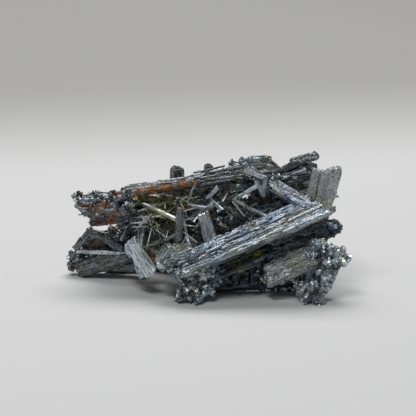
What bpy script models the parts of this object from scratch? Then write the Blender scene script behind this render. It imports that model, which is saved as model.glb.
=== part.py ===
"""Stibnite crystal spray: a free-standing specimen of long striated blades and rods, grown through each other.

Run it with blender --background --python part.py, or from Blender's text editor. Metres, +Z up, with the
origin on the surface that the specimen stands on, under the middle of its box. +Y is away from the viewer.

Each crystal is laid out on the display view, which looks down on the specimen by DISPLAY_TILT_DEG. A place is
(across, up, back) in millimetres: across is to the right, up is up the display view, and back is the distance
behind the front feet. A node is one grown-together piece. Crystals of one node overlap and are united, and a
node is notched where a neighbour of an earlier node leans on it, with CONTACT_GAP between the two.
"""

import math
import random
from collections import namedtuple

import bmesh
import bpy
import numpy as np
from mathutils import Matrix, Vector

MM = 0.001
DISPLAY_TILT_DEG = 20.0
MIDDLE_ACROSS = 0.3  # of the specimen's box, from the layout's own zero
MIDDLE_BACK = 20.3
CONTACT_GAP = 0.3  # mm, between pieces that touch
BEVELLED_END = 0.22  # length of a blade's bevelled tip, as a share of its width
BEVEL_WIDTH = 2.6  # mm, the width of a lath from which its tip is bevelled
BLUNT = 0.72  # size of a blade's very tip, as a share of the rest
ROUNDED = 0.45
NEEDLE_WIDTH = 2.2  # mm, the width up to which a crystal is a four-sided needle
LUMP_CORNERS = 8

VIEWER_UP = Vector((0, math.sin(math.radians(DISPLAY_TILT_DEG)), math.cos(math.radians(DISPLAY_TILT_DEG))))
TO_VIEWER = Vector((0, -VIEWER_UP.z, VIEWER_UP.y))

# Sections of a crystal, as shares of half its width and half its thickness.
BLADE_SECTION = [(1, 0.1), (0.52, 1), (-0.58, 1), (-1, -0.1), (-0.52, -1), (0.58, -1)]
NEEDLE_SECTION = [(1, 0.15), (-0.2, 1), (-1, -0.15), (0.2, -1)]

Lath = namedtuple("Lath", "foot tip side face width thick foot_cut tip_cut foot_size tip_size section")
Blade = namedtuple("Blade", "foot tip width thick laths lean taper ragged cuts point")
Lump = namedtuple("Lump", "at radius stubs")


def blade(foot, tip, width, thick, laths=3, lean=0, taper=1.0, ragged=0.25, cuts=(0.0, 0.0), point=BLUNT):
    """A bundle of parallel laths. lean turns its broad face up from facing the viewer, taper is the foot's width as a
    share of the tip's, ragged scatters the laths' ends, cuts slants the two ends, in mm along per mm across, and
    point is the size of the very tip as a share of the rest."""
    return Blade(foot, tip, width, thick, laths, lean, taper, ragged, cuts, point)


def rod(foot, tip, width, lean=0):
    """A single needle, four-sided and a little flattened."""
    return Blade(foot, tip, width, width * 0.8, 1, lean, 1.0, 0.0, (0.3, -0.4), BLUNT)


def lump(across, up, back, radius, stubs=0):
    """A knot of short crystals that radiate from one point: a faceted core, and some stubs."""
    return Lump((across, up, back), radius, stubs)


SPRAY = {
    "middle_foot": [
        lump(-9.4, 6.2, 1.1, 3.4, stubs=1),
        lump(-11.4, 3.0, 0.8, 2.9),
        lump(-4.8, 1.4, 0.0, 3.6, stubs=1),
        lump(-6.2, 4.6, 1.2, 3.7),
        lump(0.2, 4.6, 2.3, 3.2),
        lump(-3.2, 7.6, 3.8, 3.4),
        lump(2.6, 7.4, 4.2, 2.6, stubs=1),
        lump(0.8, 9.4, 6.1, 3.4),
        lump(4.4, 10.6, 6.8, 3.0),
        lump(-6.0, 11.0, 3.0, 3.6),
        lump(-1.6, 11.6, 4.2, 3.4),
    ],
    "front_blade": [
        blade((-11.2, 14.2, 0.8), (44.6, 38.8, 9.8), 10.6, 5, laths=5, lean=22, taper=0.8, ragged=0.3, cuts=(-0.3, 0.5)),
        blade((-16.4, 17.6, 4.5), (-5.2, 21.6, 2.3), 6.0, 4.0, laths=2, lean=10),
        blade((-19.2, 16.4, 6.1), (-14.4, 23.2, 4.5), 4.4, 3.0, laths=1, lean=20),
        lump(-16.0, 15.2, 4.5, 4.0),
        lump(-10.8, 12.8, 2.6, 3.8),
        lump(-12.4, 19.6, 4.9, 3.0),
        lump(-17.6, 18.4, 6.8, 3.0),
        lump(-12.4, 21.8, 6.4, 2.4),
        lump(-4.0, 13.4, 1.4, 3.0),
        lump(0.4, 14.8, 2.2, 2.8),
    ],
    "right_shoulder": [
        blade((26.0, 22.4, 7.9), (48.4, 29.6, 12.9), 7.0, 5.0, laths=2, lean=-5, cuts=(0.6, 0.1)),
        lump(46.4, 26.6, 12.2, 2.8),
        blade((43.0, 29.6, 16.7), (52.8, 29.9, 13.2), 6.2, 5.6, laths=1, lean=15, point=ROUNDED),
    ],
    "tall_plate": [
        blade((44.8, 30.0, 16.7), (51.2, 54.8, 19.7), 7.2, 4.2, laths=1, lean=-8, taper=0.8, point=ROUNDED),
        blade((41.4, 34.0, 17.3), (45.8, 52.6, 20.4), 6.6, 3.4, laths=2, lean=-4, cuts=(0.0, -0.1)),
        lump(51.2, 43.2, 18.9, 1.9),
        lump(50.0, 37.6, 18.2, 1.8),
    ],
    "horn": [
        blade((26.0, 46.0, 25.0), (42.8, 51.6, 25.7), 6.0, 5.0, laths=2, ragged=0.5),
        blade((29.8, 52.2, 28.6), (38.4, 57.2, 27.0), 4.0, 3.8, laths=1),
        blade((33.8, 56.2, 27.8), (44.8, 59.2, 26.0), 3.6, 3.4, laths=1, lean=12, point=ROUNDED),
        lump(37.2, 56.6, 26.8, 2.4),
        lump(42.4, 54.6, 25.7, 2.2),
        blade((36.8, 52.4, 28.0), (44.0, 54.0, 25.7), 5.4, 4.4, laths=1),
        blade((37.2, 56.4, 27.3), (41.2, 46.8, 28.8), 4.4, 4.0, laths=1),
        blade((30.8, 45.2, 23.5), (42.0, 40.0, 15.9), 3.4, 2.8, laths=1),
        rod((29.4, 49.0, 25.7), (39.6, 53.6, 22.7), 1.8),
    ],
    "top_blade": [
        blade((-3.6, 49.6, 22.0), (27.6, 55.6, 25.0), 7.4, 3.6, laths=3, lean=24, taper=0.4, ragged=0.45),
        blade((21.4, 56.8, 25.7), (28.6, 51.4, 22.7), 5.4, 4.0, laths=1, lean=10),
        lump(10.2, 55.8, 25.0, 1.8),
        lump(14.6, 56.2, 25.7, 2.5),
        blade((16.8, 56.4, 25.7), (25.6, 57.0, 25.4), 4.6, 3.6, laths=1, point=ROUNDED),
    ],
    "ridge_rod": [
        blade((-32.8, 44.6, 22.0), (12.4, 51.8, 25.0), 3.8, 3.4, laths=2, lean=20, ragged=0.6),
        blade((-14.0, 46.8, 22.7), (15.6, 53.6, 24.2), 3.0, 2.6, laths=1, lean=30),
    ],
    "rusty_prism": [
        blade((-52.4, 38.8, 25.7), (-28.0, 40.4, 19.7), 8.0, 8.0, laths=2, lean=14, ragged=0.3, cuts=(0.75, 0.1)),
        blade((-47.0, 34.8, 25.4), (-29.5, 36.0, 20.4), 5.0, 6.0, laths=1, lean=-10, ragged=0.4, cuts=(0.8, 0.3)),
        blade((-46.6, 32.0, 25.0), (-34.0, 33.4, 21.2), 3.0, 4.0, laths=1),
        blade((-32.4, 39.6, 28.8), (-33.2, 39.8, 15.9), 6.6, 8.0, laths=1, lean=30),
        lump(-51.6, 42.0, 25.4, 3.1),
        lump(-44.8, 43.4, 24.6, 2.2),
        lump(-47.2, 38.4, 21.6, 3.0),
        lump(-41.2, 40.6, 20.4, 3.0),
        lump(-42.4, 36.4, 20.9, 2.8),
        lump(-37.4, 42.6, 20.9, 2.7),
        lump(-31.8, 43.0, 18.9, 3.1),
        lump(-31.6, 38.2, 16.4, 3.4),
    ],
    "silver_blade": [
        blade((-31.2, 25.0, 12.9), (-22.2, 11.4, 8.3), 4.8, 3.0, laths=3, lean=14, ragged=0.25),
        lump(-30.4, 23.4, 12.5, 2.4),
        lump(-26.0, 12.4, 10.6, 2.2),
        blade((-29.6, 21.8, 12.1), (-31.6, 20.0, 22.7), 3.4, 3.0, laths=1),
        blade((-28.8, 19.6, 12.5), (-25.4, 10.2, 11.4), 3.2, 2.6, laths=2, lean=-20, ragged=0.5),
    ],
    "left_foot": [
        blade((-52.0, 12.6, 31.0), (-29.6, 19.8, 25.7), 5.4, 5.2, laths=3, lean=12, ragged=0.4),
        blade((-53.6, 21.2, 32.6), (-46.4, 29.4, 30.3), 3.0, 2.4, laths=1),
        blade((-48.8, 28.8, 30.7), (-38.8, 25.6, 26.5), 3.2, 2.4, laths=1),
        blade((-43.2, 27.6, 28.8), (-34.0, 20.4, 25.7), 3.0, 2.6, laths=1),
        blade((-53.0, 20.4, 31.4), (-32.8, 19.6, 24.6), 1.9, 1.6, laths=1, lean=30),
        blade((-52.0, 17.0, 34.8), (-29.6, 25.0, 33.3), 8.0, 3.4, laths=1),
        blade((-51.0, 22.0, 35.8), (-31.0, 28.0, 32.0), 7.6, 3.0, laths=1),
        blade((-46.0, 14.6, 33.0), (-24.0, 13.8, 28.5), 5.6, 4.0, laths=1, lean=-20),
        lump(-54.4, 14.6, 32.2, 2.7),
        lump(-54.2, 18.2, 32.2, 3.0),
        lump(-52.0, 15.8, 31.8, 2.9, stubs=1),
        lump(-46.2, 13.6, 31.0, 2.9),
        lump(-42.8, 17.2, 30.3, 2.6),
        lump(-37.6, 28.6, 27.6, 2.9, stubs=1),
    ],
    "right_druse": [
        blade((41.0, 2.4, 6.2), (43.2, 22.4, 13.0), 8.0, 5.0, laths=1),
        blade((46.2, 6.4, 4.8), (51.6, 21.4, 9.6), 7.6, 5.4, laths=1),
        blade((43.6, 1.6, 0.0), (45.0, 3.6, 8.0), 5.0, 4.0, laths=1),
        blade((39.0, 3.0, 0.6), (41.4, 4.6, 7.4), 4.4, 4.0, laths=1),
        blade((40.6, 17.6, 6.4), (44.4, 24.0, 11.0), 4.4, 4.4, laths=1),
        lump(39.6, 1.8, 0.8, 3.2),
        lump(44.4, 0.9, -0.4, 3.2),
        lump(38.4, 6.6, 1.1, 2.6),
        lump(42.4, 6.8, 0.4, 2.8),
        lump(46.6, 5.8, 1.9, 2.8),
        lump(47.6, 9.4, 1.9, 2.9),
        lump(46.0, 12.4, 2.3, 2.8),
        lump(49.2, 12.0, 3.4, 2.9),
        lump(48.0, 16.0, 3.8, 3.0),
        lump(52.0, 16.6, 4.9, 3.0, stubs=1),
        lump(54.8, 17.4, 5.8, 3.1, stubs=1),
        lump(53.2, 20.6, 6.4, 2.9),
        lump(50.0, 21.6, 6.1, 2.8),
        lump(46.4, 23.6, 7.2, 2.8),
        lump(43.2, 23.2, 7.9, 3.0),
        lump(41.0, 18.6, 6.8, 2.6),
    ],
    "lower_blade": [
        blade((23.0, 10.0, 3.8), (42.0, 18.2, 7.2), 8.0, 4.0, laths=2, lean=16, ragged=0.4),
        lump(24.6, 9.6, 3.6, 2.8),
        lump(28.6, 9.2, 3.8, 2.7),
        blade((30.0, 15.6, 7.2), (42.4, 23.2, 9.5), 4.4, 3.4, laths=1, lean=10),
    ],
    "shadow_blade": [
        blade((4.8, 12.8, 6.8), (38.4, 26.6, 11.4), 5.4, 3.4, laths=2, lean=26, ragged=0.4),
        blade((13.2, 16.4, 9.8), (11.6, 6.8, 6.1), 3.6, 3.0, laths=1),
        blade((18.0, 15.6, 11.4), (18.8, 7.6, 7.6), 4.6, 3.4, laths=1),
        blade((8.4, 16.4, 9.1), (7.6, 9.6, 6.1), 3.0, 2.6, laths=1),
        blade((31.0, 22.6, 10.0), (27.0, 25.0, 32.0), 5.4, 4.4, laths=1),
        blade((12.0, 15.4, 8.0), (8.0, 22.0, 35.0), 5.4, 4.4, laths=1),
        blade((-4.0, 6.8, 10.6), (38.0, 9.8, 13.6), 6.6, 5.0, laths=1),
        blade((19.0, 9.0, 12.8), (20.4, 18.4, 11.0), 4.4, 4.0, laths=1),
        lump(14.4, 11.6, 9.8, 3.0),
        lump(18.0, 10.0, 9.8, 2.6),
        lump(21.2, 11.4, 9.4, 2.9),
        lump(10.0, 12.8, 9.1, 2.6),
        lump(23.0, 15.0, 9.4, 3.3),
    ],
    "centre_column": [
        blade((-1.6, 36.0, 13.2), (2.0, 23.0, 6.4), 4.6, 3.2, laths=3, lean=10, ragged=0.2),
    ],
    "left_column": [
        blade((-10.8, 38.4, 11.7), (-11.2, 24.6, 7.9), 2.8, 2.6, laths=1),
    ],
    "slant_plate": [
        blade((24.4, 48.8, 17.4), (40.4, 38.8, 9.8), 5.0, 4.4, laths=2, lean=26),
        blade((14.8, 52.8, 21.2), (24.4, 48.8, 15.9), 4.6, 3.6, laths=1, lean=20),
        rod((22.8, 42.4, 15.9), (19.6, 48.8, 14.4), 1.8),
        blade((22.4, 42.8, 15.9), (23.2, 49.6, 14.4), 2.8, 1.8, laths=1),
        lump(24.4, 46.8, 15.9, 2.6),
        lump(27.2, 50.0, 18.2, 2.4),
    ],
    "needle_tangle": [
        blade((-32.4, 38.0, 27.3), (3.6, 27.6, 22.7), 6.5, 4.6, laths=1, lean=10),
        blade((-29.2, 22.8, 26.5), (7.6, 41.2, 22.0), 6.5, 4.6, laths=1, lean=-10),
        blade((-34.0, 43.0, 26.5), (-2.0, 38.0, 22.7), 6.0, 4.6, laths=1),
        blade((-7.6, 19.0, 18.5), (12.4, 46.8, 22.0), 6.0, 4.2, laths=1, lean=15),
        blade((-1.6, 42.8, 22.7), (22.8, 28.0, 15.9), 6.5, 4.4, laths=1),
        blade((-24.4, 15.6, 21.2), (2.0, 22.4, 17.4), 5.6, 4.2, laths=1, lean=20),
        blade((8.4, 46.0, 22.0), (35.6, 48.4, 20.4), 6.0, 4.4, laths=1, lean=-5),
        blade((13.2, 26.8, 13.6), (33.2, 42.8, 18.2), 5.6, 4.4, laths=1),
        blade((-21.6, 39.2, 24.2), (-22.8, 30.0, 15.9), 3.6, 3.2, laths=1, lean=10),
        blade((-21.2, 31.6, 25.0), (-11.6, 31.2, 12.1), 3.4, 2.4, laths=1, lean=50),
        blade((-18.8, 41.6, 24.2), (-11.6, 40.8, 16.7), 3.2, 2.6, laths=1, lean=20),
        blade((2.0, 20.0, 4.0), (-3.0, 25.0, 21.0), 5.0, 4.0, laths=1),
        blade((20.0, 29.0, 8.0), (12.0, 35.0, 22.0), 4.4, 3.6, laths=1),
        blade((35.0, 36.0, 10.0), (31.0, 45.0, 24.0), 5.0, 4.0, laths=1),
        blade((-11.0, 19.0, 4.0), (-15.0, 21.0, 23.0), 5.0, 4.0, laths=1),
        rod((-29.6, 41.2, 25.7), (-11.6, 33.2, 11.4), 1.8),
        rod((-29.2, 38.4, 26.5), (-24.4, 32.4, 15.1), 1.1),
        rod((-27.2, 36.4, 26.5), (-27.6, 22.0, 13.6), 1.7),
        rod((-24.4, 35.6, 26.1), (-26.4, 22.4, 14.4), 1.3),
        rod((-28.8, 35.2, 26.5), (-34.8, 24.8, 21.2), 1.3),
        rod((-27.2, 22.0, 26.1), (-12.0, 27.2, 9.5), 1.5),
        rod((-10.4, 38.2, 23.5), (-7.6, 24.4, 9.1), 1.1),
        rod((-9.6, 39.6, 23.5), (-0.4, 38.0, 13.6), 1.5),
        rod((-8.4, 33.0, 24.2), (2.8, 39.6, 12.9), 2.1),
        rod((-8.0, 40.0, 23.5), (-4.4, 48.4, 14.4), 1.0),
        rod((-1.6, 40.0, 22.0), (4.4, 46.4, 16.7), 1.8),
        rod((9.6, 40.8, 20.4), (20.0, 46.8, 14.4), 1.5),
        rod((9.6, 41.6, 19.7), (24.0, 34.4, 9.8), 1.6),
        rod((1.2, 41.6, 20.4), (6.0, 37.2, 13.6), 1.6),
        rod((9.2, 39.2, 20.4), (4.0, 36.4, 12.9), 1.3),
        rod((-14.2, 27.0, 24.2), (-18.8, 16.4, 10.6), 2.6),
        rod((-24.0, 22.4, 25.7), (-16.4, 18.4, 12.1), 1.5),
        rod((-10.8, 20.6, 19.3), (-3.6, 23.6, 9.8), 1.3),
        lump(7.6, 32.8, 15.1, 4.0),
    ],
    "rear_stump": [
        blade((-12.4, 42.0, 34.8), (-12.0, 53.6, 33.3), 6.0, 5.0, laths=1, lean=10, cuts=(0.0, 0.15)),
        blade((2.0, 47.6, 34.8), (0.4, 55.4, 33.3), 3.8, 3.4, laths=1, point=ROUNDED),
        blade((-30.0, 43.0, 37.9), (20.0, 50.0, 31.8), 7.0, 5.0, laths=2, lean=-15),
    ],
    "rear_left_blade": [
        blade((-36.0, 32.6, 35.6), (14.0, 41.6, 37.9), 11.0, 5.0, laths=3, lean=10, ragged=0.4),
    ],
    "rear_low_blade": [
        blade((-36.0, 20.4, 34.1), (4.0, 34.4, 28.8), 9.0, 4.6, laths=2, lean=0, ragged=0.5),
    ],
    "rear_upper_blade": [
        blade((6.0, 30.4, 33.3), (42.0, 49.2, 34.1), 10.0, 4.6, laths=2, lean=5, ragged=0.5),
    ],
    "rear_cross_blade": [
        blade((-26.0, 14.6, 39.4), (45.0, 40.6, 30.3), 11.0, 5.4, laths=2, lean=-10, ragged=0.5),
    ],
    "rear_strut": [
        blade((30.0, 14.8, 41.6), (35.6, 38.6, 32.0), 9.0, 5.0, laths=2, lean=0, ragged=0.4),
        lump(29.6, 15.0, 39.4, 4.0),
        lump(33.6, 15.4, 37.1, 3.4),
    ],
}

FINISHES = {
    # node: colour, roughness, metallic
    "front_blade": ((0.36, 0.39, 0.42), 0.35, 0.9),
    "silver_blade": ((0.55, 0.56, 0.58), 0.25, 1.0),
    "rusty_prism": ((0.24, 0.17, 0.13), 0.6, 0.4),
    "ridge_rod": ((0.40, 0.24, 0.13), 0.55, 0.4),
    "tall_plate": ((0.33, 0.32, 0.30), 0.55, 0.5),
    "lower_blade": ((0.33, 0.32, 0.30), 0.55, 0.5),
    "right_shoulder": ((0.25, 0.25, 0.24), 0.55, 0.5),
    "middle_foot": ((0.20, 0.20, 0.21), 0.3, 0.9),
    "right_druse": ((0.12, 0.12, 0.13), 0.2, 1.0),
    "shadow_blade": ((0.10, 0.12, 0.15), 0.3, 0.9),
}
LEAD_GREY = ((0.28, 0.30, 0.31), 0.4, 0.8)


def place(across, up, back):
    """World position in metres of a place on the display view."""
    height = (up - back * VIEWER_UP.y) / VIEWER_UP.z
    return Vector((across - MIDDLE_ACROSS, back - MIDDLE_BACK, height)) * MM


def facing(axis, lean):
    """The unit normal of a crystal's broad face: square to its axis, towards the viewer, leaning up by lean degrees."""
    normal = (TO_VIEWER - axis * TO_VIEWER.dot(axis)).normalized()
    sideways = axis.cross(normal)
    if sideways.dot(VIEWER_UP + Vector((0.5, 0, 0))) < 0:
        sideways.negate()
    angle = math.radians(lean)
    return normal * math.cos(angle) + sideways * math.sin(angle)


def laths_of(crystal, chance):
    """The single crystals in a blade, side by side across its width."""
    foot, tip = place(*crystal.foot), place(*crystal.tip)
    axis = (tip - foot).normalized()
    face = facing(axis, crystal.lean)
    side = axis.cross(face)
    made = []
    share = crystal.width / crystal.laths
    for i in range(crystal.laths):
        offset = (i + 0.5) * share - crystal.width / 2
        width = share * (chance.uniform(1.25, 1.6) if crystal.laths > 1 else 1)
        thick = crystal.thick * (chance.uniform(0.65, 1.0) if crystal.laths > 1 else 1)
        proud = chance.uniform(-0.5, 0.5) * (crystal.thick - thick)
        slip = [crystal.ragged * crystal.width * chance.uniform(-0.5, 0.5) for _ in range(2)]
        cuts = [cut + chance.uniform(-0.25, 0.25) for cut in crystal.cuts]
        start = foot + (side * offset * crystal.taper + face * proud + axis * (slip[0] + crystal.cuts[0] * offset)) * MM
        end = tip + (side * offset + face * proud + axis * (slip[1] + crystal.cuts[1] * offset)) * MM
        section = BLADE_SECTION if crystal.width > NEEDLE_WIDTH else NEEDLE_SECTION
        made.append(Lath(start, end, side, face, width, thick, *cuts, crystal.taper, crystal.point, section))
    return made


def lath_mesh(lath, grow=0.0):
    """Vertices and faces of one lath. grow fattens it all round, in mm."""
    axis = (lath.tip - lath.foot).normalized()
    half_width = lath.width / 2 * MM
    half_thick = lath.thick / 2 * MM
    more = grow * MM
    start, end = lath.foot - axis * more, lath.tip + axis * more
    bevel = min(BEVELLED_END * lath.width * BLUNT / lath.tip_size * MM, (end - start).length * 0.3)
    rings = [
        (start, lath.foot_size, lath.foot_cut),
        (end - axis * bevel, 1.0, lath.tip_cut),
        (end, lath.tip_size, lath.tip_cut),
    ]
    if lath.width < BEVEL_WIDTH:
        rings = [rings[0], rings[2]]
    points = []
    for centre, size, cut in rings:
        for across, through in lath.section:
            sideways = across * (half_width * size + more)
            points.append(
                centre + lath.side * sideways + lath.face * through * (half_thick * size + more) + axis * cut * sideways
            )
    return points, tube_faces(len(rings), len(lath.section))


def tube_faces(rings, sides):
    """Faces of a closed tube whose points run ring after ring."""
    faces = [tuple(reversed(range(sides)))]
    for ring in range(rings - 1):
        for i in range(sides):
            j = (i + 1) % sides
            low, high = ring * sides, (ring + 1) * sides
            faces.append((low + i, low + j, high + j, high + i))
    faces.append(tuple(range((rings - 1) * sides, rings * sides)))
    return faces


def lump_meshes(knot, chance, grow=0.0):
    """A lump's core, the hull of points scattered about its centre, and the stubs that stand on it."""
    centre = place(*knot.at)
    ball = bmesh.new()
    bmesh.ops.create_icosphere(ball, subdivisions=1, radius=1.0)
    corners = [v.co.copy() for v in ball.verts]
    ball.free()
    turn = Matrix.Rotation(chance.uniform(0, math.tau), 3, "Z") @ Matrix.Rotation(chance.uniform(0, math.tau), 3, "X")
    corners = [turn @ corner for corner in chance.sample(corners, LUMP_CORNERS)]
    points = [centre + corner * (knot.radius * chance.uniform(0.88, 1.14) + grow) * MM for corner in corners]
    made = [hull_of(points)]
    for _ in range(knot.stubs):
        made.append(lath_mesh(stub_of(centre, knot.radius, chance), grow))
    return made


def hull_of(points):
    hull = bmesh.new()
    for point in points:
        hull.verts.new(point)
    bmesh.ops.convex_hull(hull, input=hull.verts)
    bmesh.ops.delete(hull, geom=[v for v in hull.verts if not v.link_faces], context="VERTS")
    hull.verts.index_update()
    shape = [v.co.copy() for v in hull.verts], [tuple(v.index for v in face.verts) for face in hull.faces]
    hull.free()
    return shape


def stub_of(centre, radius, chance):
    """A short crystal that stands out of a lump, to one side or the other but mostly towards the viewer."""
    out = Vector([chance.gauss(0, 1) for _ in range(3)]) + TO_VIEWER
    out.normalize()
    side = out.orthogonal().normalized()
    side.rotate(Matrix.Rotation(chance.uniform(0, math.tau), 3, out))
    width = radius * chance.uniform(0.6, 0.9)
    tip = centre + out * radius * chance.uniform(1.0, 1.3) * MM
    return Lath(centre, tip, side, out.cross(side), width, width * 0.8, 0.0, 0.3, 1.0, BLUNT, NEEDLE_SECTION)


def shapes_of(node, grow=0.0):
    """Every closed shape of a node, as (points, faces). It is the same each time, whatever grow is."""
    shapes = []
    for number, crystal in enumerate(SPRAY[node]):
        chance = random.Random(f"{node}/{number}")
        if isinstance(crystal, Lump):
            shapes += lump_meshes(crystal, chance, grow)
        else:
            shapes += [lath_mesh(lath, grow) for lath in laths_of(crystal, chance)]
    return shapes


def new_object(name, points, faces):
    mesh = bpy.data.meshes.new(name)
    mesh.from_pydata([tuple(p) for p in points], [], faces)
    made = bmesh.new()
    made.from_mesh(mesh)
    bmesh.ops.recalc_face_normals(made, faces=made.faces)
    made.to_mesh(mesh)
    made.free()
    obj = bpy.data.objects.new(name, mesh)
    bpy.context.scene.collection.objects.link(obj)
    return obj


def apply_boolean(body, others, operation):
    """Unites body with the others, or cuts them out of it, and removes them."""
    group = bpy.data.collections.new("operands")
    for other in others:
        group.objects.link(other)
    modifier = body.modifiers.new("shape", "BOOLEAN")
    modifier.operation = operation
    modifier.operand_type = "COLLECTION"
    modifier.collection = group
    modifier.solver = "EXACT"
    modifier.use_self = operation == "DIFFERENCE"
    mesh = bpy.data.meshes.new_from_object(body.evaluated_get(bpy.context.evaluated_depsgraph_get()))
    body.modifiers.clear()
    body.data = mesh
    for other in others:
        bpy.data.objects.remove(other)
    bpy.data.collections.remove(group)


def keep_largest_body(obj):
    """Drops the chips that a cut leaves loose."""
    mesh = bmesh.new()
    mesh.from_mesh(obj.data)
    bmesh.ops.triangulate(mesh, faces=mesh.faces)
    left, bodies = set(mesh.faces), []
    while left:
        body, edge = set(), [left.pop()]
        while edge:
            face = edge.pop()
            body.add(face)
            near = {other for side in face.edges for other in side.link_faces} & left
            left -= near
            edge += near
        corners = ([v.co for v in face.verts] for face in body)
        bodies.append((sum(a.dot(b.cross(c)) for a, b, c in corners), len(bodies), body))
    bodies.sort()
    bmesh.ops.delete(mesh, geom=[face for body in bodies[:-1] for face in body[2]], context="FACES")
    bmesh.ops.dissolve_limit(mesh, angle_limit=math.radians(1.5), verts=mesh.verts, edges=mesh.edges)
    bmesh.ops.triangulate(mesh, faces=mesh.faces)
    mesh.to_mesh(obj.data)
    mesh.free()


def box_of(obj):
    corners = np.array([v.co for v in obj.data.vertices])
    return corners.min(axis=0), corners.max(axis=0)


def boxes_meet(first, second):
    return all(first[0] < second[1] + CONTACT_GAP * MM) and all(second[0] < first[1] + CONTACT_GAP * MM)


def floor_cutter():
    """A slab whose top is the surface that the specimen stands on, so that its feet rest on small flats."""
    size = 200 * MM
    slab = bmesh.new()
    bmesh.ops.create_cube(slab, size=size, matrix=Matrix.Translation((0, 0, -size / 2)))
    mesh = bpy.data.meshes.new("floor_cutter")
    slab.to_mesh(mesh)
    slab.free()
    obj = bpy.data.objects.new("floor_cutter", mesh)
    bpy.context.scene.collection.objects.link(obj)
    return obj


def finish_of(node):
    colour, roughness, metallic = FINISHES.get(node, LEAD_GREY)
    material = bpy.data.materials.new(node)
    material.use_nodes = True
    shader = material.node_tree.nodes["Principled BSDF"]
    shader.inputs["Base Color"].default_value = (*colour, 1)
    shader.inputs["Roughness"].default_value = roughness
    shader.inputs["Metallic"].default_value = metallic
    return material


def grow_node(node, earlier):
    """Unites a node's crystals, and notches it where it meets the nodes made before it."""
    shapes = [new_object(f"{node}_{i}", *shape) for i, shape in enumerate(shapes_of(node))]
    body = shapes[0]
    body.name = node
    apply_boolean(body, shapes[1:], "UNION")
    if box_of(body)[0][2] < 0:
        apply_boolean(body, [floor_cutter()], "DIFFERENCE")
    for other in earlier:
        if boxes_meet(box_of(body), box_of(other)):
            cutters = [new_object("cutter", *shape) for shape in shapes_of(other.name, CONTACT_GAP)]
            apply_boolean(body, cutters, "DIFFERENCE")
    keep_largest_body(body)
    body.data.materials.clear()
    body.data.materials.append(finish_of(node))
    return body


def main():
    for obj in list(bpy.data.objects):
        bpy.data.objects.remove(obj)
    made = []
    for node in SPRAY:
        made.append(grow_node(node, made))


main()
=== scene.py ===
"""The look of the stibnite crystal spray: every crystal of the solids again, with its striations, broken
ends, pits, chips and druse, and with hair-fine needles between them. The layout and the sizes of crystals
are in millimetres. Places and limits in the world are in metres."""

import math
import random
from collections import namedtuple

import bpy
import numpy as np
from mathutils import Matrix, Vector


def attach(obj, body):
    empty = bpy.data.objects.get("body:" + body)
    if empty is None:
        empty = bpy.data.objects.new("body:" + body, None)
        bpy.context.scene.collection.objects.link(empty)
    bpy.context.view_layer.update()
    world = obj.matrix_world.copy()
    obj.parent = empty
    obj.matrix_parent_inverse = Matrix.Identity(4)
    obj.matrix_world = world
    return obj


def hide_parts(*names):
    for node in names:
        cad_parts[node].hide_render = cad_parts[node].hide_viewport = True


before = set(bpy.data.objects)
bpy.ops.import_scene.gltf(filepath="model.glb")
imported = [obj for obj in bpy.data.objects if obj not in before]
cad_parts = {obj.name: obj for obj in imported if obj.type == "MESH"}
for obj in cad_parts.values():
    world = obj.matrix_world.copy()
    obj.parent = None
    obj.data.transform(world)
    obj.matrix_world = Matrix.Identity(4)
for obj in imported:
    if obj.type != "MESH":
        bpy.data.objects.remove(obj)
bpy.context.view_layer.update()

MM = 0.001
DISPLAY_TILT_DEG = 20.0  # how far the photo looks down on the specimen
MIDDLE_ACROSS = 0.3  # the place in the layout that stands over the world's origin
MIDDLE_BACK = 20.3
NEEDLE_WIDTH = 2.2  # crystals up to this width are single needles
BLUNT = 0.72  # size of a blade's very tip, as a share of the rest
ROUNDED = 0.45  # the same for a worn, rounded tip
FLOOR = 0.00004  # no point of a crystal is lower, in metres
VIEWER_UP = Vector((0, math.sin(math.radians(DISPLAY_TILT_DEG)), math.cos(math.radians(DISPLAY_TILT_DEG))))
TO_VIEWER = Vector((0, -VIEWER_UP.z, VIEWER_UP.y))

BLADE_SECTION = [(1, 0.1), (0.52, 1), (-0.58, 1), (-1, -0.1), (-0.52, -1), (0.58, -1)]
NEEDLE_SECTION = [(1, 0.15), (-0.2, 1), (-1, -0.15), (0.2, -1)]

Lath = namedtuple("Lath", "foot tip side face width thick foot_cut tip_cut foot_size tip_size section")
Blade = namedtuple("Blade", "foot tip width thick laths lean taper ragged cuts point")
Lump = namedtuple("Lump", "at radius")


def blade(foot, tip, width, thick, laths=3, lean=0, taper=1.0, ragged=0.25, cuts=(0.0, 0.0), point=BLUNT):
    """A bundle of parallel laths. lean turns its broad face up from facing the viewer, taper is the foot's
    width as a share of the tip's, ragged scatters the laths' ends, cuts slants the two ends, in mm along per
    mm across, and point is the size of the very tip as a share of the rest."""
    return Blade(foot, tip, width, thick, laths, lean, taper, ragged, cuts, point)


def rod(foot, tip, width):
    """A single needle, four-sided and a little flattened."""
    return Blade(foot, tip, width, width * 0.8, 1, 0, 1.0, 0.0, (0.3, -0.4), BLUNT)


def lump(across, up, back, radius):
    """A knot of short crystals that radiate from one point."""
    return Lump((across, up, back), radius)


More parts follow.
